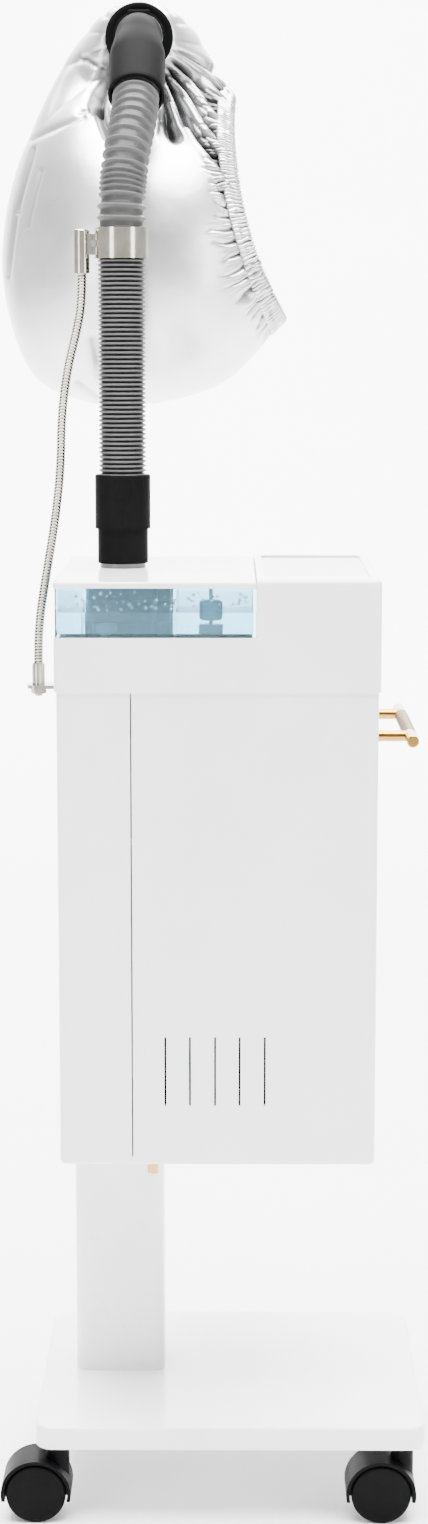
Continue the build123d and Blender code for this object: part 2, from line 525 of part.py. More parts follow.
def make_hood():
    neck_r, neck_end = 26.0, 225.0
    shell = egg(0) - egg(FABRIC) - beyond_rim(0)
    shell -= rod_y(PIVOT_X, PIVOT_Z, COLLAR_Y1 - 1, neck_end, neck_r - FABRIC)
    neck = rod_y(PIVOT_X, PIVOT_Z, COLLAR_Y1, neck_end, neck_r)
    neck -= rod_y(PIVOT_X, PIVOT_Z, COLLAR_Y1 + FABRIC, neck_end + 1, neck_r - FABRIC)
    neck -= rod_y(PIVOT_X, PIVOT_Z, COLLAR_Y1 - 1, COLLAR_Y1 + FABRIC + 1, SPIGOT_R + RUN)
    panels = [piece for piece in (neck - egg(0)).solids() if piece.volume > SLIVER]
    # sewn from panels: rings between these heights, each cut into sectors
    upright = Plane(origin=(-78, 205, 1090))
    for low, high in zip(PANEL_HEIGHTS, PANEL_HEIGHTS[1:]):
        ring = shell & block(-400, 400, -400, 600, low, high)
        panels.extend(wedges(ring, upright, range(SECTOR // 2, 360 + SECTOR, SECTOR)))
    save("hood", group(panels))

    band = ((egg(0) - egg(BAND)) & beyond_rim(0)) - beyond_rim(BAND)
    facing = Plane(origin=(0, 200, 1092), z_dir=(1, 0, 0))
    band_pieces = wedges(band, facing, range(SECTOR // 2, 360 + SECTOR, SECTOR))
    save("hood_elastic", group(band_pieces))
    print("hood panels", len(panels), "band pieces", len(band_pieces))
    save("hood_collar", ring_y(PIVOT_X, PIVOT_Z, COLLAR_Y0, COLLAR_Y1, 28, SPIGOT_R + RUN))


# ---- handle ----
def make_handle():
    posts, screws = [], []
    for y in POST_YS:
        post = rod_x(y, HANDLE_Z, BODY_X1, HANDLE_X, 4.5) + rod_x(y, HANDLE_Z, BODY_X1, BODY_X1 + 2.5, 7.5)
        post -= rod_y(HANDLE_X, HANDLE_Z, y - 10, y + 10, HANDLE_R)
        post -= rod_x(y, HANDLE_Z, BODY_X1 - 1, BODY_X1 + 10, 2.0)
        posts.append(post)
        shank = rod_x(y, HANDLE_Z, BODY_X1 - WALL, BODY_X1 + 10, 2.0)
        screws.append(shank + rod_x(y, HANDLE_Z, BODY_X1 - WALL - 2.5, BODY_X1 - WALL, 4.0))
    save("handle_posts", group(posts))
    save("handle_screws", group(screws))
    bar = rod_y(HANDLE_X, HANDLE_Z, HANDLE_Y0, HANDLE_Y1, HANDLE_R)
    bar = fillet(bar.edges().filter_by(GeomType.CIRCLE), 1.2)
    save("handle_bar", bar)
    grip = ring_y(HANDLE_X, HANDLE_Z, POST_YS[0] + 7, POST_YS[1] - 7, HANDLE_R + 0.5, HANDLE_R)
    save("handle_grip", grip)


make_base()
make_casters()
make_column()
make_cabinet()
make_power_entry()
make_cap()
make_tank()
make_works()
make_hose()
make_clamp_and_neck()
make_elbow()
make_hood()
make_handle()
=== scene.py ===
import bpy
import json
import math
import random
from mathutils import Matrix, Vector, noise
from mathutils.bvhtree import BVHTree


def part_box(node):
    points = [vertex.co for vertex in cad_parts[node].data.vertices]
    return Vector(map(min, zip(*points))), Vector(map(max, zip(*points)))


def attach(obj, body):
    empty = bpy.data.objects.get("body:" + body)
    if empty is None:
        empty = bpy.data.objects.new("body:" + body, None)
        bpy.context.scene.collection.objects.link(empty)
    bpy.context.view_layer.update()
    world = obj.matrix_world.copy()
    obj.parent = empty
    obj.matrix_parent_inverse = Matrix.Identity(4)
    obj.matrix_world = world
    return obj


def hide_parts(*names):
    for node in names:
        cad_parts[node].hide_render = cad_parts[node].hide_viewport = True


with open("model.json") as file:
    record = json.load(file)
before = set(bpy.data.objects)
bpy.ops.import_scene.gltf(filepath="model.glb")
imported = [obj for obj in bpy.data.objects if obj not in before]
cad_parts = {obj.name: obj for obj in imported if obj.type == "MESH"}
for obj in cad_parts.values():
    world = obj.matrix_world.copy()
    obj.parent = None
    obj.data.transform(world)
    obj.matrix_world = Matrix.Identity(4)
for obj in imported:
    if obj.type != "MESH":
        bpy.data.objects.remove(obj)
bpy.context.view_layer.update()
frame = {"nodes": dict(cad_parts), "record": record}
NODES = frame["nodes"]
MM = 0.001
TAU = 2 * math.pi


# ---- small mesh tools ----
def lerp(a, b, t):
    return a + (b - a) * t


def smooth(t):
    t = min(max(t, 0.0), 1.0)
    return t * t * (3 - 2 * t)


def mesh_piece(name, verts, faces, body, material, replaced=(), shade=True):
    data = bpy.data.meshes.new(name)
    data.from_pydata([tuple(v) for v in verts], [], faces)
    data.validate()
    data.update()
    piece = bpy.data.objects.new(name, data)
    bpy.context.scene.collection.objects.link(piece)
    if shade:
        data.polygons.foreach_set("use_smooth", [True] * len(data.polygons))
    data.materials.append(material)
    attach(piece, body)
    if replaced:
        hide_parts(*replaced)
    return piece


def grid_faces(rows, columns, closed=True, start=0):
    """Quads between rings of points; columns join up when closed."""
    faces = []
    across = columns if closed else columns - 1
    for r in range(rows - 1):
        for c in range(across):
            a = start + r * columns + c
            b = start + r * columns + (c + 1) % columns
            faces.append((a, b, b + columns, a + columns))
    return faces


def axis_frame(axis):
    axis = Vector(axis).normalized()
    side = axis.cross(Vector((0, 0, 1)) if abs(axis.z) < 0.9 else Vector((1, 0, 0))).normalized()
    return axis, side, axis.cross(side)


def turned(name, origin, axis, profile, body, material, replaced=(), sides=64):
    """A solid of revolution from (distance along the axis, radius) pairs, in metres."""
    axis, side, up = axis_frame(axis)
    origin = Vector(origin)
    verts = []
    for along, radius in profile:
        for k in range(sides):
            angle = TAU * k / sides
            verts.append(origin + axis * along + (side * math.cos(angle) + up * math.sin(angle)) * radius)
    faces = grid_faces(len(profile), sides)
    return mesh_piece(name, verts, faces, body, material, replaced)


def bevelled(piece, width, segments=3, angle=35):
    bevel = piece.modifiers.new("bevel", "BEVEL")
    bevel.width = width
    bevel.segments = segments
    bevel.limit_method = "ANGLE"
    bevel.angle_limit = math.radians(angle)
    return piece


def nurbs_line(points, count):
    """Evenly counted points along the smooth spline that has these control points."""
    curve = bpy.data.curves.new("route", "CURVE")
    curve.dimensions = "3D"
    spline = curve.splines.new("NURBS")
    spline.points.add(len(points) - 1)
    for place, point in zip(spline.points, points):
        place.co = (*point, 1.0)
    spline.order_u = 3
    spline.use_endpoint_u = True
    spline.resolution_u = 24
    holder = bpy.data.objects.new("route", curve)
    line = bpy.data.meshes.new_from_object(holder)
    dense = [v.co.copy() for v in line.vertices]
    bpy.data.objects.remove(holder)
    bpy.data.curves.remove(curve)
    bpy.data.meshes.remove(line)
    lengths = [0.0]
    for a, b in zip(dense, dense[1:]):
        lengths.append(lengths[-1] + (b - a).length)
    result = []
    index = 0
    for k in range(count):
        target = lengths[-1] * k / (count - 1)
        while index < len(dense) - 2 and lengths[index + 1] < target:
            index += 1
        span = max(lengths[index + 1] - lengths[index], 1e-9)
        result.append(dense[index].lerp(dense[index + 1], (target - lengths[index]) / span))
    return result, lengths[-1]


def tube_along(name, line, radius_at, body, material, replaced=(), sides=40, painted_shade_at=None):
    """A closed tube round a line of points; radius_at, and the function giving painted shade in its grooves, take the
    point's number.
    """
    verts = []
    tangent = (line[1] - line[0]).normalized()
    _, side, up = axis_frame(tangent)
    for k, point in enumerate(line):
        ahead = line[min(k + 1, len(line) - 1)] - line[max(k - 1, 0)]
        turn = tangent.rotation_difference(ahead.normalized())
        side, up = turn @ side, turn @ up
        tangent = ahead.normalized()
        radius = radius_at(k)
        for n in range(sides):
            angle = TAU * n / sides
            verts.append(point + (side * math.cos(angle) + up * math.sin(angle)) * radius)
    faces = grid_faces(len(line), sides)
    faces.append(tuple(range(sides))[::-1])
    faces.append(tuple(range(len(verts) - sides, len(verts))))
    piece = mesh_piece(name, verts, faces, body, material, replaced)
    if painted_shade_at:
        mark_painted_shade(piece, [painted_shade_at(k) for k in range(len(line)) for _ in range(sides)])
    return piece


def mark_painted_shade(piece, values):
    """Store how much painted shade each point gets, deepest in grooves and folds, which its material paints as a
    darker colour.
    """
    layer = piece.data.attributes.new("painted_shade", "FLOAT", "POINT")
    layer.data.foreach_set("value", values)


# ---- materials ----
class Nodes:
    """Short names for building one material's node tree."""

    def __init__(self, name):
        self.material = bpy.data.materials.new(name)
        self.material.use_nodes = True
        self.tree = self.material.node_tree
        self.shader = self.tree.nodes["Principled BSDF"]
        self.place = self.add("ShaderNodeTexCoord").outputs["Object"]

    def add(self, kind, **settings):
        node = self.tree.nodes.new(kind)
        for key, value in settings.items():
            setattr(node, key, value)
        return node

    def link(self, source, target):
        self.tree.links.new(source, target)

    def set(self, **values):
        for key, value in values.items():
            self.shader.inputs[key.replace("_", " ")].default_value = value

    def noise(self, scale, detail=4.0, rough=0.5, stretch=None):
        node = self.add("ShaderNodeTexNoise")
        node.inputs["Scale"].default_value = scale
        node.inputs["Detail"].default_value = detail
        node.inputs["Roughness"].default_value = rough
        place = self.place
        if stretch:
            mapping = self.add("ShaderNodeMapping")
            mapping.inputs["Scale"].default_value = stretch
            self.link(place, mapping.inputs["Vector"])
            place = mapping.outputs["Vector"]
        self.link(place, node.inputs["Vector"])
        return node.outputs["Fac"]

    def ramp(self, source, low, high, colours):
        node = self.add("ShaderNodeValToRGB")
        node.color_ramp.elements[0].position = low
        node.color_ramp.elements[1].position = high
        for element, colour in zip(node.color_ramp.elements, colours):
            element.color = (*colour, 1)
        self.link(source, node.inputs["Fac"])
        return node.outputs["Color"]

    def with_painted_shade(self, colour, dark):
        """The colour, blended to a darker one as painted shade where the mesh is marked with painted shade."""
        mark = self.add("ShaderNodeAttribute", attribute_name="painted_shade")
        mix = self.add("ShaderNodeMix", data_type="RGBA")
        mix.inputs[7].default_value = (*dark, 1)
        self.link(mark.outputs["Fac"], mix.inputs[0])
        self.link(colour, mix.inputs[6])
        return mix.outputs[2]

    def spread(self, source, low, high):
        node = self.add("ShaderNodeMapRange")
        node.inputs["To Min"].default_value = low
        node.inputs["To Max"].default_value = high
        self.link(source, node.inputs["Value"])
        return node.outputs["Result"]

    def bump(self, height, strength, distance, under=None):
        node = self.add("ShaderNodeBump")
        node.inputs["Strength"].default_value = strength
        node.inputs["Distance"].default_value = distance
        self.link(height, node.inputs["Height"])
        if under:
            self.link(under, node.inputs["Normal"])
        return node.outputs["Normal"]


def moulded(name, low, high, rough, grain=900.0, depth=0.00003, coat=0.0, patch=14.0, ior=1.47):
    """Moulded plastic or paint: a faint tone change, uneven gloss and a fine grain."""
    n = Nodes(name)
    n.link(n.ramp(n.noise(patch), 0.35, 0.7, (low, high)), n.shader.inputs["Base Color"])
    n.link(n.spread(n.noise(patch * 3, 6), rough * 0.85, rough * 1.2), n.shader.inputs["Roughness"])
    n.link(n.bump(n.noise(grain, 2), 0.25, depth), n.shader.inputs["Normal"])
    n.set(Coat_Weight=coat, Coat_Roughness=0.08, IOR=ior)
    return n.material


def polished(name, low, high, rough, scratch=(1, 1, 1), anisotropic=0.0):
    """Plated or polished metal with fine wear scratches."""
    n = Nodes(name)
    # painted shade: a near-black version of the low tone where the mesh is marked, as in the gooseneck's grooves
    tone = n.with_painted_shade(n.ramp(n.noise(60), 0.3, 0.75, (low, high)), tuple(0.12 * c for c in low))
    n.link(tone, n.shader.inputs["Base Color"])
    n.link(n.spread(n.noise(400, 3, 0.6, scratch), rough * 0.6, rough * 1.5), n.shader.inputs["Roughness"])
    n.link(n.bump(n.noise(700, 2, 0.5, scratch), 0.15, 0.00003), n.shader.inputs["Normal"])
    n.set(Metallic=1.0, Anisotropic=anisotropic)
    return n.material


def clear(name, colour, rough, weight, depth_tone):
    """Tinted clear plastic, slightly uneven."""
    n = Nodes(name)
    n.link(n.ramp(n.noise(18), 0.3, 0.75, (colour, depth_tone)), n.shader.inputs["Base Color"])
    n.link(n.spread(n.noise(55, 5), rough * 0.6, rough * 1.5), n.shader.inputs["Roughness"])
    n.link(n.bump(n.noise(120, 2), 0.12, 0.0001), n.shader.inputs["Normal"])
    n.set(Transmission_Weight=weight, IOR=1.12)
    return n.material


WHITE_LOW, WHITE_HIGH = (0.78, 0.78, 0.785), (0.82, 0.82, 0.82)
MATERIALS = {
    "white_plastic": moulded("white_plastic", WHITE_LOW, WHITE_HIGH, 0.20, coat=0.35),
    "white_paint": moulded("white_paint", (0.76, 0.76, 0.765), (0.80, 0.80, 0.80), 0.28, 500.0, 0.00005, 0.3),
    "steel": polished("steel", (0.42, 0.42, 0.43), (0.55, 0.55, 0.56), 0.30, (1, 12, 1)),
    "nickel": polished("nickel", (0.44, 0.405, 0.35), (0.62, 0.58, 0.51), 0.16),
    "dark_plastic": moulded("dark_plastic", (0.012, 0.012, 0.012), (0.02, 0.02, 0.02), 0.5, ior=1.3),
    "board": moulded("board", (0.01, 0.07, 0.03), (0.015, 0.10, 0.045), 0.45),
    "grey_panel": moulded("grey_panel", (0.33, 0.333, 0.345), (0.37, 0.373, 0.385), 0.18, coat=0.5),
    "brass": polished("brass", (0.42, 0.24, 0.07), (0.55, 0.34, 0.12), 0.22),
    "black_plastic": moulded("black_plastic", (0.0030, 0.0030, 0.0031), (0.0048, 0.0048, 0.0049), 0.50, 700.0, 0.00006,
                             ior=1.08),
    "silicone": moulded("silicone", (0.50, 0.50, 0.48), (0.60, 0.60, 0.58), 0.4),
    # painted tint and shade: the white float and the grey mist chamber inside the tank are coloured the dark blue they
    # show through its blue walls
    "float_white": moulded("float_white", (0.09, 0.25, 0.34), (0.13, 0.31, 0.41), 0.35),
    "gold": polished("gold", (0.40, 0.215, 0.045), (0.52, 0.30, 0.08), 0.16),
    "chamber_grey": moulded("chamber_grey", (0.045, 0.165, 0.235), (0.07, 0.22, 0.30), 0.3),
    "collar_grey": moulded("collar_grey", (0.09, 0.095, 0.10), (0.12, 0.125, 0.13), 0.3, coat=0.3),
    "caster_black": moulded("caster_black", (0.0018, 0.0018, 0.0019), (0.0032, 0.0032, 0.0033), 0.45, 800.0, 0.00005,
                            ior=1.12),
    "tank_blue": clear("tank_blue", (0.55, 0.79, 0.90), 0.06, 0.94, (0.48, 0.74, 0.87)),
}


def knurled_gold():
    """Satin gold with a fine grain, for the bar with the diamond knurl, which lies along Y."""
    n = Nodes("gold_knurl")
    n.link(n.ramp(n.noise(80), 0.3, 0.75, ((0.20, 0.13, 0.07), (0.28, 0.20, 0.12))), n.shader.inputs["Base Color"])
    n.link(n.spread(n.noise(300), 0.30, 0.5), n.shader.inputs["Roughness"])
    n.set(Metallic=1.0)
    n.link(n.bump(n.noise(900, 2), 0.3, 0.00005), n.shader.inputs["Normal"])
    return n.material


def hose_grey():
    """Grey flexible vinyl, slightly waxy, with painted shade darkening the grooves between its ridges."""
    n = Nodes("hose_grey")
    tone = n.ramp(n.noise(40), 0.3, 0.75, ((0.070, 0.070, 0.070), (0.095, 0.095, 0.095)))
    n.link(n.with_painted_shade(tone, (0.004, 0.004, 0.004)), n.shader.inputs["Base Color"])
    n.link(n.spread(n.noise(90, 5), 0.28, 0.46), n.shader.inputs["Roughness"])
    n.link(n.bump(n.noise(500, 3), 0.2, 0.0001), n.shader.inputs["Normal"])
    n.set(IOR=1.3)
    return n.material


def foil(name, low, high, rough, crinkle):
    """Metal-coated cloth: satin silver with a fine weave and soft crinkles, and painted shade, almost black, where the
    mesh is marked in its folds.
    """
    n = Nodes(name)
    tone = n.with_painted_shade(n.ramp(n.noise(22, 5), 0.3, 0.75, (low, high)), (0.035, 0.035, 0.036))
    n.link(tone, n.shader.inputs["Base Color"])
    n.link(n.spread(n.noise(35, 6), rough * 0.8, rough * 1.3), n.shader.inputs["Roughness"])
    weave = n.bump(n.noise(1500, 2), 0.2, 0.00004)
    soft = n.bump(n.noise(60, 5, 0.55), crinkle, 0.0015, weave)
    n.link(soft, n.shader.inputs["Normal"])
    n.set(Metallic=0.80, Sheen_Weight=0.08, Sheen_Roughness=0.4)
    return n.material


MATERIALS["gold_knurl"] = knurled_gold()
MATERIALS["hose_grey"] = hose_grey()
MATERIALS["foil"] = foil("foil", (0.68, 0.68, 0.69), (0.78, 0.78, 0.79), 0.29, 0.22)
MATERIALS["foil_band"] = foil("foil_band", (0.64, 0.64, 0.65), (0.78, 0.78, 0.79), 0.28, 0.20)
MATERIALS["foil_stitch"] = foil("foil_stitch", (0.20, 0.20, 0.21), (0.32, 0.32, 0.33), 0.40, 0.20)
SLOT_OF = {part["node"]: part["material_slot"] for part in frame["record"]["subparts"]}

for name, node in NODES.items():
    for index in range(max(1, len(node.data.materials))):
        if node.data.materials:
            node.data.materials[index] = MATERIALS[SLOT_OF[name]]
        else:
            node.data.materials.append(MATERIALS[SLOT_OF[name]])


# ---- places taken from the frame ----
CUFF_LOW, CUFF_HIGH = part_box("hose_cuff")
HOSE_AXIS = Vector(((CUFF_LOW.x + CUFF_HIGH.x) / 2, (CUFF_LOW.y + CUFF_HIGH.y) / 2, 0))
HOSE_R = (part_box("steam_hose_lower")[1].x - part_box("steam_hose_lower")[0].x) / 2
RING_LOW, RING_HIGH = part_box("clamp_ring")
FLANGE_LOW, FLANGE_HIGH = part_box("flange_ring")
FLANGE_MID = (FLANGE_LOW + FLANGE_HIGH) / 2
FLANGE_R = (FLANGE_HIGH.z - FLANGE_LOW.z) / 2
HOOD_LOW, HOOD_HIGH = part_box("hood")


# ---- the ribbed hoses ----
def ridge(phase, sharp=1.0):
    """0 in a groove, 1 on a ridge."""
    return (0.5 + 0.5 * math.cos(TAU * phase)) ** sharp


def lower_hose():
    low, high = CUFF_HIGH.z - 0.004, RING_LOW.z + 0.002
    ribs = round((high - low) / 0.00372)
    steps = ribs * 8
    line = [Vector((HOSE_AXIS.x, HOSE_AXIS.y, lerp(low, high, k / steps))) for k in range(steps + 1)]

    def radius(k):
        return HOSE_R - 0.0026 * (1 - ridge(k / 8, 0.8))

    # painted shade: the grooves between the ribs are darkened in colour
    tube_along("steam_hose_lower_ribbed", line, radius, "frame", MATERIALS["hose_grey"],
               ("steam_hose_lower",), 56, lambda k: smooth(1.25 - 1.5 * ridge(k / 8)))


UPPER_ROUTE = [(-0.091, 0.020, 1.0655), (-0.091, 0.020, 1.090), (-0.087, 0.031, 1.130), (-0.080, 0.0559, 1.1634),
               (-0.080, 0.0827, 1.1902)]


def upper_hose():
    count = 640
    line, length = nurbs_line(UPPER_ROUTE, count)
    # rib spacing along the hose: wide ribs, a squeezed stretch, wide ribs again; the radius bulges once near the start
    phases = [0.0]
    for k in range(1, count):
        along = k / count
        squeezed = smooth((along - 0.17) / 0.05) * (1 - smooth((along - 0.31) / 0.05))
        pitch = lerp(0.0092, 0.0042, squeezed)
        phases.append(phases[-1] + length / count / pitch)

    def radius(k):
        along = k / count
        bulge = 0.0008 * (1 - smooth((along - 0.10) / 0.08))
        squeezed = smooth((along - 0.17) / 0.05) * (1 - smooth((along - 0.31) / 0.05))
        depth = lerp(0.0027, 0.0017, squeezed)
        return HOSE_R - depth + depth * ridge(phases[k], 3.4) + bulge - 0.0002

    def painted_shade(k):
        """Painted shade, darkest just under each rib where the wall tucks in, and none on the rib itself."""
        return min(1.0, 0.42 * (1 - ridge(phases[k], 1.5)) + 0.55 * ridge(phases[k] + 0.82, 6))

    tube_along("steam_hose_upper_ribbed", line, radius, "frame", MATERIALS["hose_grey"],
               ("steam_hose_upper",), 56, painted_shade)


lower_hose()
upper_hose()


# ---- gooseneck ----
NECK_ROUTE = [(-0.1635, 0.020, 0.7035), (-0.1635, 0.020, 0.733), (-0.157, 0.020, 0.775), (-0.1485, 0.020, 0.822),
              (-0.143, 0.020, 0.868), (-0.142, 0.020, 0.912), (-0.137, 0.020, 0.950), (-0.129, 0.020, 0.981),
              (-0.124, 0.020, 1.006), (-0.124, 0.020, 1.031)]


def gooseneck():
    pitch = 0.0026
    _, length = nurbs_line(NECK_ROUTE, 10)
    turns = round(length / pitch)
    line, _ = nurbs_line(NECK_ROUTE, turns * 6 + 1)
    round_wire = [0.0034, 0.0038, 0.0040, 0.0040, 0.0038, 0.0034]
    # painted shade between the wire's turns, darkest deep in each groove
    groove_shade = [0.95, 0.25, 0.0, 0.0, 0.25, 0.95]
    tube_along("gooseneck_wound", line, lambda k: round_wire[k % 6], "frame", MATERIALS["nickel"],
               ("gooseneck_arm",), 28, lambda k: groove_shade[k % 6])


gooseneck()


# ---- elbow ----
def elbow():
    mouth = Vector((FLANGE_MID.x, 0.070, 1.1775))
    out = Vector((0, -1, -1)).normalized()
    bend = Vector((FLANGE_MID.x, mouth.y + FLANGE_MID.z - mouth.z, FLANGE_MID.z))
    start = mouth - out * 0.0
    route = [start, start.lerp(bend, 0.35), start.lerp(bend, 0.72), bend + Vector((0, 0.004, 0)),
             Vector((bend.x, FLANGE_LOW.y + 0.001, bend.z))]
    line, length = nurbs_line(route, 90)
    wide, narrow = 0.0240, 0.0200

    def radius(k):
        along = length * k / 89
        lip = 0.0004 * smooth(1 - along / 0.003)
        taper = smooth((along - 0.044) / 0.034)
        return lerp(wide, narrow, taper) - lip

    verts, sides = [], 64
    tangent = (line[1] - line[0]).normalized()
    _, side, up = axis_frame(tangent)
    inner = []
    for k, point in enumerate(line):
        ahead = (line[min(k + 1, 89)] - line[max(k - 1, 0)]).normalized()
        turn = tangent.rotation_difference(ahead)
        side, up, tangent = turn @ side, turn @ up, ahead
        if k <= 22:
            inner.append((point, side.copy(), up.copy()))
        for n in range(sides):
            angle = TAU * n / sides
            verts.append(point + (side * math.cos(angle) + up * math.sin(angle)) * radius(k))
    faces = grid_faces(90, sides)
    # rolled lip and the socket's inside wall
    first = len(verts)
    for k, (point, side, up) in enumerate(inner):
        for n in range(sides):
            angle = TAU * n / sides
            verts.append(point + (side * math.cos(angle) + up * math.sin(angle)) * 0.0208)
    faces += [tuple(reversed(f)) for f in grid_faces(len(inner), sides, True, first)]
    for n in range(sides):
        faces.append((n, first + n, first + (n + 1) % sides, (n + 1) % sides))
    mesh_piece("elbow_moulding", verts, faces, "frame", MATERIALS["black_plastic"], ("elbow",))
    # a raised pad where the elbow meets the flange
    pad = Vector((FLANGE_MID.x, FLANGE_LOW.y - 0.004, FLANGE_MID.z + 0.0185))
    verts = []
    for dy in (0, 0.0045):
        for dx, dz in ((-0.011, -0.003), (0.011, -0.003), (0.0095, 0.004), (-0.0095, 0.004)):
            verts.append(pad + Vector((dx, dy, dz)))
    faces = [(0, 1, 2, 3), (7, 6, 5, 4), (0, 4, 5, 1), (1, 5, 6, 2), (2, 6, 7, 3), (3, 7, 4, 0)]
    bevelled(mesh_piece("elbow_pad", verts, faces, "frame", MATERIALS["black_plastic"]), 0.0012)


def flange():
    r = FLANGE_R
    thick = FLANGE_HIGH.y - FLANGE_LOW.y
    profile = [(0.0, 0.0205), (0.0, r - 0.0085), (0.0006, r - 0.0078), (0.0010, r - 0.0062), (0.0003, r - 0.0050),
               (0.0000, r - 0.0022), (0.0005, r - 0.0008), (0.0016, r), (thick - 0.0012, r), (thick, r - 0.0012),
               (thick, 0.0222), (0.0002, 0.0222), (0.0, 0.0205)]
    origin = Vector((FLANGE_MID.x, FLANGE_LOW.y, FLANGE_MID.z))
    turned("flange_ring_moulding", origin, (0, 1, 0), profile, "frame", MATERIALS["black_plastic"],
           ("flange_ring",), 96)


elbow()
flange()


# ---- the foil hood ----
# Horizontal sections: height, centre X and Y, half-length in X, half-depth in Y.
SECTIONS = [
    (0.9190, -0.096, 0.190, 0.026, 0.024), (0.9245, -0.093, 0.190, 0.048, 0.045),
    (0.9355, -0.089, 0.190, 0.077, 0.071), (0.9550, -0.084, 0.190, 0.099, 0.092),
    (0.9900, -0.078, 0.190, 0.119, 0.111), (1.0350, -0.075, 0.190, 0.128, 0.120),
    (1.0800, -0.075, 0.193, 0.1255, 0.117), (1.1250, -0.077, 0.201, 0.1135, 0.106),
    (1.1650, -0.080, 0.215, 0.096, 0.088), (1.2000, -0.083, 0.229, 0.077, 0.066),
    (1.2300, -0.084, 0.233, 0.060, 0.052), (1.2520, -0.082, 0.233, 0.041, 0.036),
    (1.2630, -0.081, 0.231, 0.020, 0.020),
]
RIM_POINTS = [(0.0020, 1.1940), (0.0100, 1.0860), (0.0440, 0.9960)]
HOOD_MIDDLE = Vector((-0.070, 0.197, 1.090))
NECK = Vector((FLANGE_MID.x, FLANGE_HIGH.y + 0.0067, FLANGE_MID.z))
NECK_R = 0.0258
COARSE_ROUND, COARSE_ALONG = 160, 80
ROUND, ALONG = 768, 210
PLEATS, PLEAT_STEPS = 176, 8
BAND_WIDTH = 0.0180


def section_at(z):
    """Centre X, centre Y, half X and half Y at a height, by a smooth curve through the sections."""
    k = 0
    while k < len(SECTIONS) - 2 and SECTIONS[k + 1][0] < z:
        k += 1
    rows = [SECTIONS[min(max(k + d, 0), len(SECTIONS) - 1)] for d in (-1, 0, 1, 2)]
    span = rows[2][0] - rows[1][0]
    t = (z - rows[1][0]) / span
    values = []
    for i in range(1, 5):
        before = (rows[2][i] - rows[0][i]) / max(rows[2][0] - rows[0][0], 1e-6) * span
        after = (rows[3][i] - rows[1][i]) / max(rows[3][0] - rows[1][0], 1e-6) * span
        a, b = rows[1][i], rows[2][i]
        values.append((2 * t ** 3 - 3 * t ** 2 + 1) * a + (t ** 3 - 2 * t ** 2 + t) * before
                      + (3 * t ** 2 - 2 * t ** 3) * b + (t ** 3 - t ** 2) * after)
    return values


def rim_circle():
    """Centre and radius of the arc through the three rim points, in X and Z."""
    (ax, az), (bx, bz), (cx, cz) = RIM_POINTS
    d = 2 * (ax * (bz - cz) + bx * (cz - az) + cx * (az - bz))
    a2, b2, c2 = ax * ax + az * az, bx * bx + bz * bz, cx * cx + cz * cz
    ux = (a2 * (bz - cz) + b2 * (cz - az) + c2 * (az - bz)) / d
    uz = (a2 * (cx - bx) + b2 * (ax - cx) + c2 * (bx - ax)) / d
    return ux, uz, math.hypot(ax - ux, az - uz)


RIM_X, RIM_Z, RIM_R = rim_circle()


def rim_x(z):
    """X of the face opening's edge at a height, seen from the side."""
    return RIM_X - math.sqrt(max(RIM_R ** 2 - (z - RIM_Z) ** 2, 0))


def egg_point(direction):
    """Where a ray from the hood's middle meets the hood's surface."""
    low, high = 0.0, 0.30
    for _ in range(22):
        mid = (low + high) / 2
        p = HOOD_MIDDLE + direction * mid
        inside = False
        if SECTIONS[0][0] < p.z < SECTIONS[-1][0]:
            cx, cy, rx, ry = section_at(p.z)
            inside = ((p.x - cx) / rx) ** 2 + ((p.y - cy) / ry) ** 2 < 1
        low, high = (mid, high) if inside else (low, mid)
    return HOOD_MIDDLE + direction * low


def polar(angle, tilt):
    """A direction: angle runs round the +X axis, tilt from straight back (0) to +X (pi)."""
    return Vector((-math.cos(tilt), math.sin(tilt) * math.cos(angle), math.sin(tilt) * math.sin(angle)))


def rim_tilt(angle):
    """The tilt at which the surface reaches the opening's edge, for a direction round +X."""
    low, high = 0.3 * math.pi, 0.98 * math.pi
    for _ in range(18):
        mid = (low + high) / 2
        p = egg_point(polar(angle, mid))
        low, high = (low, mid) if p.x > rim_x(p.z) else (mid, high)
    return low


def catmull(a, b, c, d, t):
    return 0.5 * (2 * b + (c - a) * t + (2 * a - 5 * b + 4 * c - d) * t * t + (3 * b - a - 3 * c + d) * t ** 3)


def more_columns(row, count):
    """The same closed ring of points with more of them."""
    size = len(row)
    result = []
    for k in range(count):
        place = k / count * size
        i = int(place)
        result.append(catmull(row[i - 1], row[i], row[(i + 1) % size], row[(i + 2) % size], place - i))
    return result


def row_at(rows, t):
    place = t * (len(rows) - 1)
    i = min(int(place), len(rows) - 2)
    near = [rows[min(max(i + d, 0), len(rows) - 1)] for d in (-1, 0, 1, 2)]
    return [catmull(a, b, c, d, place - i) for a, b, c, d in zip(*near)]


def from_neck(p):
    return math.hypot(p.x - NECK.x, p.z - NECK.z)


def drawn_to_neck(p):
    """Pull the cloth forward onto the collar that clamps it."""
    if p.y > NECK.y + 0.078:
        return p
    d = from_neck(p)
    pull = 1 - smooth((d - NECK_R) / 0.036)
    y = lerp(p.y, NECK.y, pull)
    if d < NECK_R:
        out = Vector((p.x - NECK.x, 0, p.z - NECK.z))
        out = out.normalized() * NECK_R if out.length > 1e-6 else Vector((NECK_R, 0, 0))
        return Vector((NECK.x + out.x, y, NECK.z + out.z))
    return Vector((p.x, y, p.z))


CROWN_SEAM = [(-0.260, 1.120), (-0.173, 1.144), (-0.123, 1.158), (-0.095, 1.152), (-0.065, 1.145),
              (-0.035, 1.139), (-0.018, 1.116), (0.012, 1.062), (0.200, 1.020)]


def along_line(points, x):
    for (x0, z0), (x1, z1) in zip(points, points[1:]):
        if x <= x1:
            return lerp(z0, z1, (x - x0) / (x1 - x0))
    return points[-1][1]


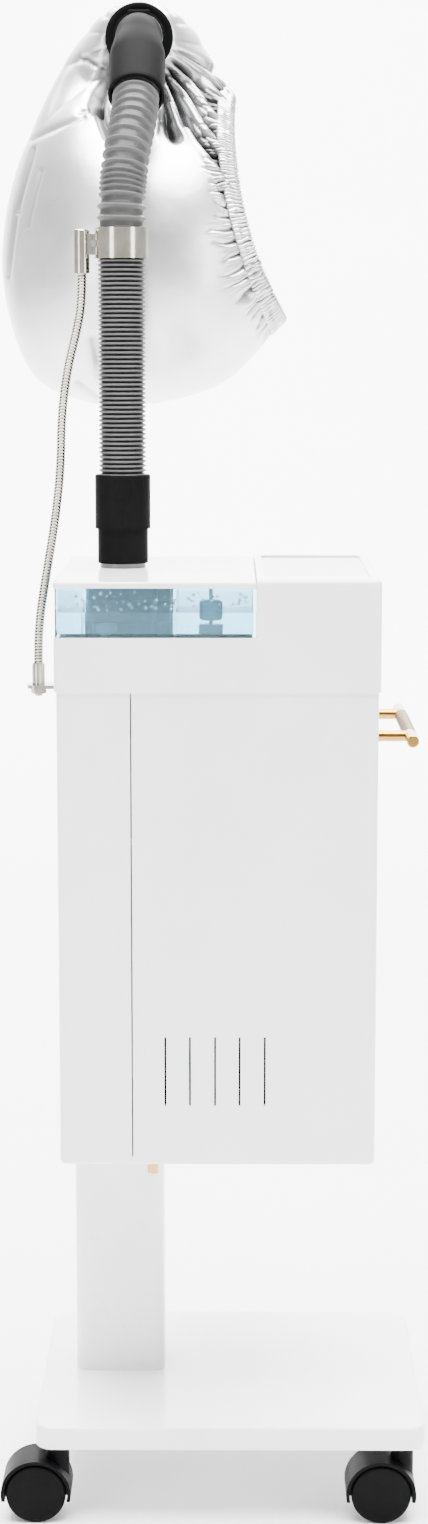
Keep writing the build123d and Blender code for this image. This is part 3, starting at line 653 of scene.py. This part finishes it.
def valley(phase, sharp):
    """1 at the bottom of a fold, 0 on the rounded crest between folds."""
    return (1 - abs(math.sin(phase / 2))) ** sharp


def near_line(p, a, b, width):
    """1 on the line from a to b in X and Z, falling away to either side."""
    ax, az = a
    bx, bz = b
    length = (bx - ax) ** 2 + (bz - az) ** 2
    t = min(max(((p.x - ax) * (bx - ax) + (p.z - az) * (bz - az)) / length, 0), 1)
    away = math.hypot(p.x - lerp(ax, bx, t), p.z - lerp(az, bz, t))
    return math.exp(-(away / width) ** 2)


# Deeper folds: two ends in X and Z, half width, depth, and how dark the painted shade at the bottom gets.
DEEP_FOLDS = [
    ((-0.106, 1.236), (-0.117, 1.178), 0.0060, 0.0130, 1.0), ((-0.117, 1.178), (-0.104, 1.150), 0.0050, 0.0100, 1.0),
    ((-0.109, 1.205), (-0.133, 1.222), 0.0030, 0.0040, 0.7), ((-0.117, 1.176), (-0.130, 1.171), 0.0028, 0.0040, 0.6),
    ((-0.054, 1.200), (-0.040, 1.160), 0.0040, 0.0070, 0.8), ((-0.060, 1.165), (-0.046, 1.148), 0.0040, 0.0050, 0.7),
    ((-0.173, 1.141), (-0.186, 1.085), 0.0025, 0.0022, 0.35), ((-0.165, 1.120), (-0.176, 1.072), 0.0022, 0.0016, 0.25),
    ((-0.186, 1.085), (-0.196, 1.030), 0.0022, 0.0018, 0.30), ((-0.135, 0.938), (-0.120, 0.925), 0.0030, 0.0030, 0.45),
    ((-0.118, 0.975), (-0.112, 0.945), 0.0050, 0.0030, 0.35), ((-0.176, 1.150), (-0.128, 1.165), 0.0028, 0.0016, 0.22),
]


def folded(p, angle, edge):
    """How far the cloth stands off the smooth egg, and how much painted shade it gets in and around its folds, from 0
    to 1.
    """
    dark = 0.0
    crown = smooth((p.z - along_line(CROWN_SEAM, p.x) + 0.004) / 0.014)
    height = lerp(0.0016, 0.0030, crown) * noise.noise(p * 15 + Vector((3, 1, 7)))
    d = from_neck(p)
    off = smooth((d - NECK_R - 0.001) / 0.014)
    spoke = math.atan2(p.z - NECK.z, p.x - NECK.x)
    fan = smooth((spoke + 1.80) / 0.30) * (1 - smooth((spoke + 0.42) / 0.30)) * crown * off
    fan *= 1 - 0.6 * smooth((p.y - 0.27) / 0.04)
    phase = spoke * 30 + 5.0 * noise.noise(Vector((p.x * 9, p.y * 6, p.z * 9))) + 1.4 * math.sin(spoke * 7)
    broad = valley(phase, 1.1)
    narrow = valley(phase * 2.6 + 9 * noise.noise(p * 11), 1.6)
    height += fan * (0.0026 - 0.0105 * broad - 0.0024 * narrow)
    # painted shade over the fanned folds: uneven patches, deepest at each fold's bottom
    patch = smooth(noise.noise(Vector((spoke * 2.2, d * 14, 2.0))) * 1.6 + 0.35)
    dark += fan * min(1.0, 0.18 + 0.52 * patch + 1.1 * broad + 0.55 * narrow ** 1.5)
    # gentle pulls over the rest of the crown, with painted shade in their valleys
    rest = crown * off * (1 - fan) * math.exp(-((d - NECK_R) / 0.055) ** 2)
    pull = valley(spoke * 15 + 3 * noise.noise(p * 13), 1.8)
    height -= rest * 0.0022 * pull
    dark += rest * 0.50 * pull ** 1.4
    # wrinkles that run back from the gathered band, of uneven length, with painted shade in each pucker
    reach = 0.024 + 0.020 * noise.noise(Vector((angle * 4.5, 0.5, 2.0)))
    wrinkle = smooth(1 - (edge - BAND_WIDTH) / max(reach, 0.006)) if edge > BAND_WIDTH else 1.0
    swirl = 3.6 * noise.noise(Vector((angle * 7, edge * 40, 5.0)))
    pucker = valley(angle * 62 + swirl, 1.1)
    small = valley(angle * 124 + 2 * swirl, 1.3)
    height -= wrinkle * (0.0034 * pucker + 0.0015 * small - 0.0008)
    dark += wrinkle * (0.62 * pucker ** 1.3 + 0.30 * small ** 1.8)
    # painted shade at the bottom of each deeper fold
    for a, b, width, depth, tone in DEEP_FOLDS:
        if min(a[0], b[0]) - 0.03 < p.x < max(a[0], b[0]) + 0.03 and min(a[1], b[1]) - 0.03 < p.z:
            near = near_line(p, a, b, width)
            if near > 0.01:
                height -= depth * near
                dark = max(dark, tone * near)
    return height, min(dark, 1.0)


def ring_normals(rows):
    result = []
    for i, row in enumerate(rows):
        before, after = rows[max(i - 1, 0)], rows[min(i + 1, len(rows) - 1)]
        size = len(row)
        line = []
        for k in range(size):
            n = (after[k] - before[k]).cross(row[(k + 1) % size] - row[k - 1])
            out = row[k] - HOOD_MIDDLE
            if n.length < 1e-12:
                n = out.copy()
            line.append(n.normalized() if n.dot(out) > 0 else -n.normalized())
        result.append(line)
    return result


def hood():
    rims = [rim_tilt(TAU * k / COARSE_ROUND) for k in range(COARSE_ROUND)]
    coarse = []
    for i in range(COARSE_ALONG + 1):
        coarse.append([egg_point(polar(TAU * k / COARSE_ROUND, rims[k] * i / COARSE_ALONG))
                       for k in range(COARSE_ROUND)])
    dense = [more_columns(row, ROUND) for row in coarse]
    rows = []
    for i in range(ALONG + 1):
        u = i / ALONG
        t = u * 0.86 / 0.72 if u < 0.72 else 0.86 + (u - 0.72) * 0.5
        rows.append([drawn_to_neck(p) for p in row_at(dense, t)])
    normals = ring_normals(rows)
    edge = [0.0] * ROUND
    points, painted_shade_rows = [None] * (ALONG + 1), [None] * (ALONG + 1)
    for i in range(ALONG, -1, -1):
        if i < ALONG:
            edge = [e + (a - b).length for e, a, b in zip(edge, rows[i], rows[i + 1])]
        line, darks = [], []
        for k, p in enumerate(rows[i]):
            height, dark = folded(p, TAU * k / ROUND, edge[k])
            clamp = smooth((from_neck(p) - NECK_R) / 0.006) if p.y < NECK.y + 0.07 else 1.0
            line.append(p + normals[i][k] * height * clamp)
            darks.append(dark)
        points[i], painted_shade_rows[i] = line, darks
    verts = [points[0][0]] + [p for row in points[1:] for p in row]
    values = [0.0] + [v for row in painted_shade_rows[1:] for v in row]
    faces = [(0, 1 + (k + 1) % ROUND, 1 + k) for k in range(ROUND)]
    faces += [tuple(reversed(f)) for f in grid_faces(ALONG, ROUND, True, 1)]
    faces = [f for f in faces if not all(verts[v].y < NECK.y + 0.07 and from_neck(verts[v]) < NECK_R + 0.0001
                                         for v in f)]
    used = sorted({v for f in faces for v in f})
    place = {v: n for n, v in enumerate(used)}
    verts = [verts[v] for v in used]
    values = [values[v] for v in used]
    faces = [tuple(place[v] for v in f) for f in faces]
    piece = mesh_piece("foil_hood", verts, faces, "hood", MATERIALS["foil"], ("hood", "hood_elastic"))
    # the folds' painted shade, kept per point for the foil material
    mark_painted_shade(piece, values)
    thick = piece.modifiers.new("cloth", "SOLIDIFY")
    thick.thickness = 0.0006
    thick.offset = -1
    hem = gathered_band(coarse)
    seams = stitched_seams(verts, faces)


def gathered_band(coarse):
    """The elastic casing round the face opening: a puffed strip with a fine pleat every few millimetres."""
    columns = PLEATS * PLEAT_STEPS
    rim = more_columns(coarse[-1], columns)
    back = more_columns(row_at(coarse, 0.955), columns)
    profile = []
    for j in range(15):
        s = j / 14
        profile.append((s, 0.0006 + 0.0030 * math.sin(math.pi * s) ** 0.7))
    for j in range(1, 7):
        profile.append((1 - j / 7, -0.0012 * math.sin(math.pi * j / 7) - 0.0004))
    verts, values = [], []
    for s, lift in profile:
        outer = lift > 0
        for k in range(columns):
            angle = TAU * k / columns
            towards = (rim[k] - back[k]).normalized()
            across = (rim[(k + 3) % columns] - rim[k - 3]).normalized()
            out = towards.cross(across)
            if out.dot(rim[k] - HOOD_MIDDLE) < 0:
                out = -out
            drift = 3.4 * noise.noise(Vector((angle * 14, s * 2.2, 1.0))) + 1.2 * math.sin(angle * 23)
            fold = valley(angle * PLEATS + drift, 0.9)
            strength = 0.75 + 0.6 * noise.noise(Vector((angle * 16, s * 2, 8.0)))
            low = smooth((1.06 - rim[k].z) / 0.07)
            flare = (0.0020 + 0.0040 * low) * s * s
            pinch = 0.0007 * math.exp(-((s - 0.45) / 0.16) ** 2)
            rise = lift + flare - (0.0019 * strength * fold + pinch) * (1 if outer else 0.3)
            ragged = 0.0012 * strength * fold * smooth((s - 0.7) / 0.3)
            slide = (s - 1) * BAND_WIDTH * (1 + 0.10 * low) + 0.001 - ragged
            verts.append(rim[k] + towards * slide + out * rise)
            # painted shade: dark in each pleat's fold on the outer face, half dark all over the turned-under face
            values.append(min(1.0, 1.1 * strength * fold) if outer else 0.5)
    count = len(profile)
    faces = []
    for j in range(count):
        for k in range(columns):
            a, b = j * columns + k, j * columns + (k + 1) % columns
            c, d = (j + 1) % count * columns + (k + 1) % columns, (j + 1) % count * columns + k
            faces.append((a, b, c, d))
    piece = mesh_piece("foil_band", verts, faces, "hood", MATERIALS["foil_band"])
    mark_painted_shade(piece, values)
    return piece


SEAMS = {
    "crown_left": [(-0.172, 1.144), (-0.160, 1.148), (-0.148, 1.150), (-0.136, 1.154), (-0.123, 1.158)],
    "crown_right": [(-0.067, 1.145), (-0.050, 1.143), (-0.035, 1.139), (-0.026, 1.130), (-0.018, 1.116)],
    "side": [(-0.175, 1.137), (-0.184, 1.112), (-0.190, 1.088), (-0.194, 1.062), (-0.1957, 1.036),
             (-0.191, 1.008), (-0.181, 0.984), (-0.170, 0.958), (-0.157, 0.936), (-0.145, 0.928)],
}


def stitched_seams(verts, faces):
    """Thin raised seam lines laid on both sides of the cloth."""
    tree = BVHTree.FromPolygons(verts, faces)
    pieces = []
    for name, outline in SEAMS.items():
        route, _ = nurbs_line([(x, 0, z) for x, z in outline], 70)
        for side, start, way in (("near", -0.5, 1), ("far", 0.9, -1)):
            line = []
            for k, p in enumerate(route):
                wander = 0.0006 * noise.noise(Vector((k * 0.35, 0, start)))
                hit = tree.ray_cast(Vector((p.x + wander, start, p.z + wander)), Vector((0, way, 0)))[0]
                if hit:
                    line.append(hit + Vector((0, -way * 0.0001, 0)))
            if len(line) > 8:
                pieces.append(tube_along(f"foil_seam_{name}_{side}", line, lambda k: 0.00042, "hood",
                                         MATERIALS["foil_stitch"], (), 8))
    return pieces


hood()


# ---- handle: a finer shape round the CAD ----
def knurl():
    low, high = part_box("handle_grip")
    centre = (low + high) / 2
    radius = (high.x - low.x) / 2
    rows, sides = 230, 72
    verts = []
    for i in range(rows + 1):
        y = lerp(low.y, high.y, i / rows)
        edge = min(i, rows - i) / 4
        for k in range(sides):
            angle = TAU * k / sides
            one = math.sin(angle * 18 + y * 2400)
            two = math.sin(angle * 18 - y * 2400)
            cut = 0.00028 * (1 - max(abs(one), abs(two))) + 0.0005 * (1 - smooth(edge))
            r = radius - cut
            verts.append((centre.x + r * math.cos(angle), y, centre.z + r * math.sin(angle)))
    faces = grid_faces(rows + 1, sides)
    mesh_piece("handle_knurled_sleeve", verts, faces, "frame", MATERIALS["gold_knurl"],
               ("handle_grip",))


knurl()


def vent_shade_sheets():
    """Black sheets behind the vent slots, a painted shade for the dark inside seen through them, which also keep the
    cabinet's inside from being lit through them.
    """
    low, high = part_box("front_shell")
    wide, thick = 0.0450, 0.0008
    for side, face, way, behind in (("near", low.y, 1, 0.0190), ("far", high.y, -1, 0.0042)):
        y0 = face + way * behind
        y1 = y0 + way * thick
        verts = []
        for y in (y0, y1):
            for dx, dz in ((-wide, -0.033), (wide, -0.033), (wide, 0.033), (-wide, 0.033)):
                verts.append((-0.0125 + dx, y, 0.386 + dz))
        faces = [(0, 1, 2, 3), (7, 6, 5, 4), (0, 4, 5, 1), (1, 5, 6, 2), (2, 6, 7, 3), (3, 7, 4, 0)]
        screen = mesh_piece(f"vent_shade_sheet_{side}", verts, faces, "frame", MATERIALS["black_plastic"],
                            (), False)
        bevelled(screen, 0.0002, 2)


vent_shade_sheets()


# ---- water in the tank ----
def water():
    low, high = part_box("water_tank")
    inset = 0.0028
    bottom, level = low.z + inset, 0.7616
    valve_low, valve_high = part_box("mist_chamber")
    x0, x1, y0, y1 = low.x + inset, high.x - inset, low.y + inset, high.y - inset
    n0, n1, ny = -0.121 - inset, -0.048 + inset, -0.013 - inset
    outline = [(x0, y0), (x1, y0), (x1, y1), (n1, y1), (n1, ny), (n0, ny), (n0, y1), (x0, y1)]
    verts = [(x, y, bottom) for x, y in outline] + [(x, y, level) for x, y in outline]
    count = len(outline)
    faces = [(k, (k + 1) % count, (k + 1) % count + count, k + count) for k in range(count)]
    faces += [tuple(range(count))[::-1], tuple(range(count, 2 * count))]
    n = Nodes("water")
    n.link(n.ramp(n.noise(30), 0.3, 0.7, ((0.76, 0.90, 0.955), (0.83, 0.94, 0.975))), n.shader.inputs["Base Color"])
    n.link(n.bump(n.noise(90, 3), 0.15, 0.0004), n.shader.inputs["Normal"])
    n.set(Transmission_Weight=0.9, Roughness=0.03, IOR=1.18)
    mesh_piece("tank_water", verts, faces, "tank", n.material, (), False)


water()


# ---- droplets on the inside of the tank's near wall ----
def droplets():
    random.seed(21)
    low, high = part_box("water_tank")
    verts, faces = [], []
    for _ in range(70):
        x = random.uniform(low.x + 0.008, high.x - 0.008)
        z = random.uniform(0.7635, high.z - 0.003)
        r = random.uniform(0.0005, 0.0015)
        first = len(verts)
        for ring in range(4):
            tilt = ring / 4 * math.pi / 2
            for k in range(10):
                angle = TAU * k / 10
                verts.append((x + r * math.cos(tilt) * math.cos(angle), low.y + 0.0026 + r * 0.7 * math.sin(tilt),
                              z + r * 1.1 * math.cos(tilt) * math.sin(angle)))
        verts.append((x, low.y + 0.0026 + r * 0.7, z))
        faces += grid_faces(4, 10, True, first)
        faces += [(first + 30 + k, first + 30 + (k + 1) % 10, first + 40) for k in range(10)]
        faces.append(tuple(first + k for k in range(10)))
    n = Nodes("droplet")
    n.link(n.ramp(n.noise(200), 0.3, 0.7, ((0.85, 0.93, 0.97), (0.95, 0.98, 1.0))), n.shader.inputs["Base Color"])
    n.set(Transmission_Weight=0.8, Roughness=0.05, IOR=1.2)
    mesh_piece("tank_droplets", verts, faces, "tank", n.material)


droplets()


# ---- floor, light and camera ----
def studio():
    scene = bpy.context.scene
    size = 14.0
    data = bpy.data.meshes.new("floor")
    rows = []
    for y in range(24):
        t = y / 23
        if t < 0.6:
            rows.append((lerp(-6, 5, t / 0.6), 0.0))
        else:
            bend = (t - 0.6) / 0.4 * math.pi / 2
            rows.append((5 + 3 * math.sin(bend), 3 - 3 * math.cos(bend)))
    rows.append((8.0, 9.0))
    verts = [(x, y, z) for y, z in rows for x in (-size, size)]
    faces = [(2 * k, 2 * k + 1, 2 * k + 3, 2 * k + 2) for k in range(len(rows) - 1)]
    data.from_pydata(verts, [], faces)
    data.polygons.foreach_set("use_smooth", [True] * len(faces))
    floor = bpy.data.objects.new("floor", data)
    scene.collection.objects.link(floor)
    n = Nodes("pale_floor")
    n.link(n.ramp(n.noise(2), 0.3, 0.7, ((0.93, 0.93, 0.93), (0.95, 0.95, 0.95))), n.shader.inputs["Base Color"])
    n.set(Roughness=0.7)
    data.materials.append(n.material)
    world = bpy.data.worlds.new("studio")
    world.use_nodes = True
    tree = world.node_tree
    place = tree.nodes.new("ShaderNodeTexCoord")
    split = tree.nodes.new("ShaderNodeSeparateXYZ")
    span = tree.nodes.new("ShaderNodeMapRange")
    span.inputs["From Min"].default_value = -1.0
    ramp = tree.nodes.new("ShaderNodeValToRGB")
    # bright walls at eye level, a dark ceiling above them
    for stop, level in ((0.0, 1.0), (0.55, 1.0), (0.70, 0.16), (0.92, 0.20), (1.0, 0.6)):
        if stop in (0.0, 1.0):
            element = ramp.color_ramp.elements[int(stop)]
        else:
            element = ramp.color_ramp.elements.new(stop)
        element.color = (level, level, level, 1)
    tree.links.new(place.outputs["Generated"], split.inputs["Vector"])
    tree.links.new(split.outputs["Z"], span.inputs["Value"])
    tree.links.new(span.outputs["Result"], ramp.inputs["Fac"])
    tree.links.new(ramp.outputs["Color"], tree.nodes["Background"].inputs["Color"])
    tree.nodes["Background"].inputs["Strength"].default_value = 1.6
    scene.world = world

    def lamp(name, place, target, width, height, power):
        light = bpy.data.lights.new(name, "AREA")
        light.shape = "RECTANGLE"
        light.size, light.size_y, light.energy = width, height, power
        holder = bpy.data.objects.new(name, light)
        holder.location = place
        holder.rotation_mode = "QUATERNION"
        holder.rotation_quaternion = (Vector(target) - Vector(place)).to_track_quat("-Z", "Y")
        scene.collection.objects.link(holder)

    lamp("overhead", (0, -0.1, 3.2), (0, 0, 0), 3.0, 3.0, 750)
    lamp("backdrop", (0, 4.6, 4.4), (0, 6.5, 0.4), 6.0, 4.0, 2200)
    lamp("left_box", (-2.0, -2.2, 1.3), (0, 0, 0.8), 0.8, 2.2, 42)
    lamp("right_box", (2.2, -1.7, 1.3), (0, 0, 0.8), 0.8, 2.2, 42)


def camera():
    data = bpy.data.cameras.new("camera")
    data.sensor_width = 36
    data.lens = 61.9
    holder = bpy.data.objects.new("camera", data)
    bpy.context.scene.collection.objects.link(holder)
    pitch, yaw = math.radians(9.14), math.radians(-0.37)
    holder.location = (0.0, -2.1915, 0.975)
    holder.rotation_euler = (math.pi / 2 - pitch, 0, -yaw)
    data.clip_start, data.clip_end = 0.05, 50
    bpy.context.scene.camera = holder


studio()
camera()
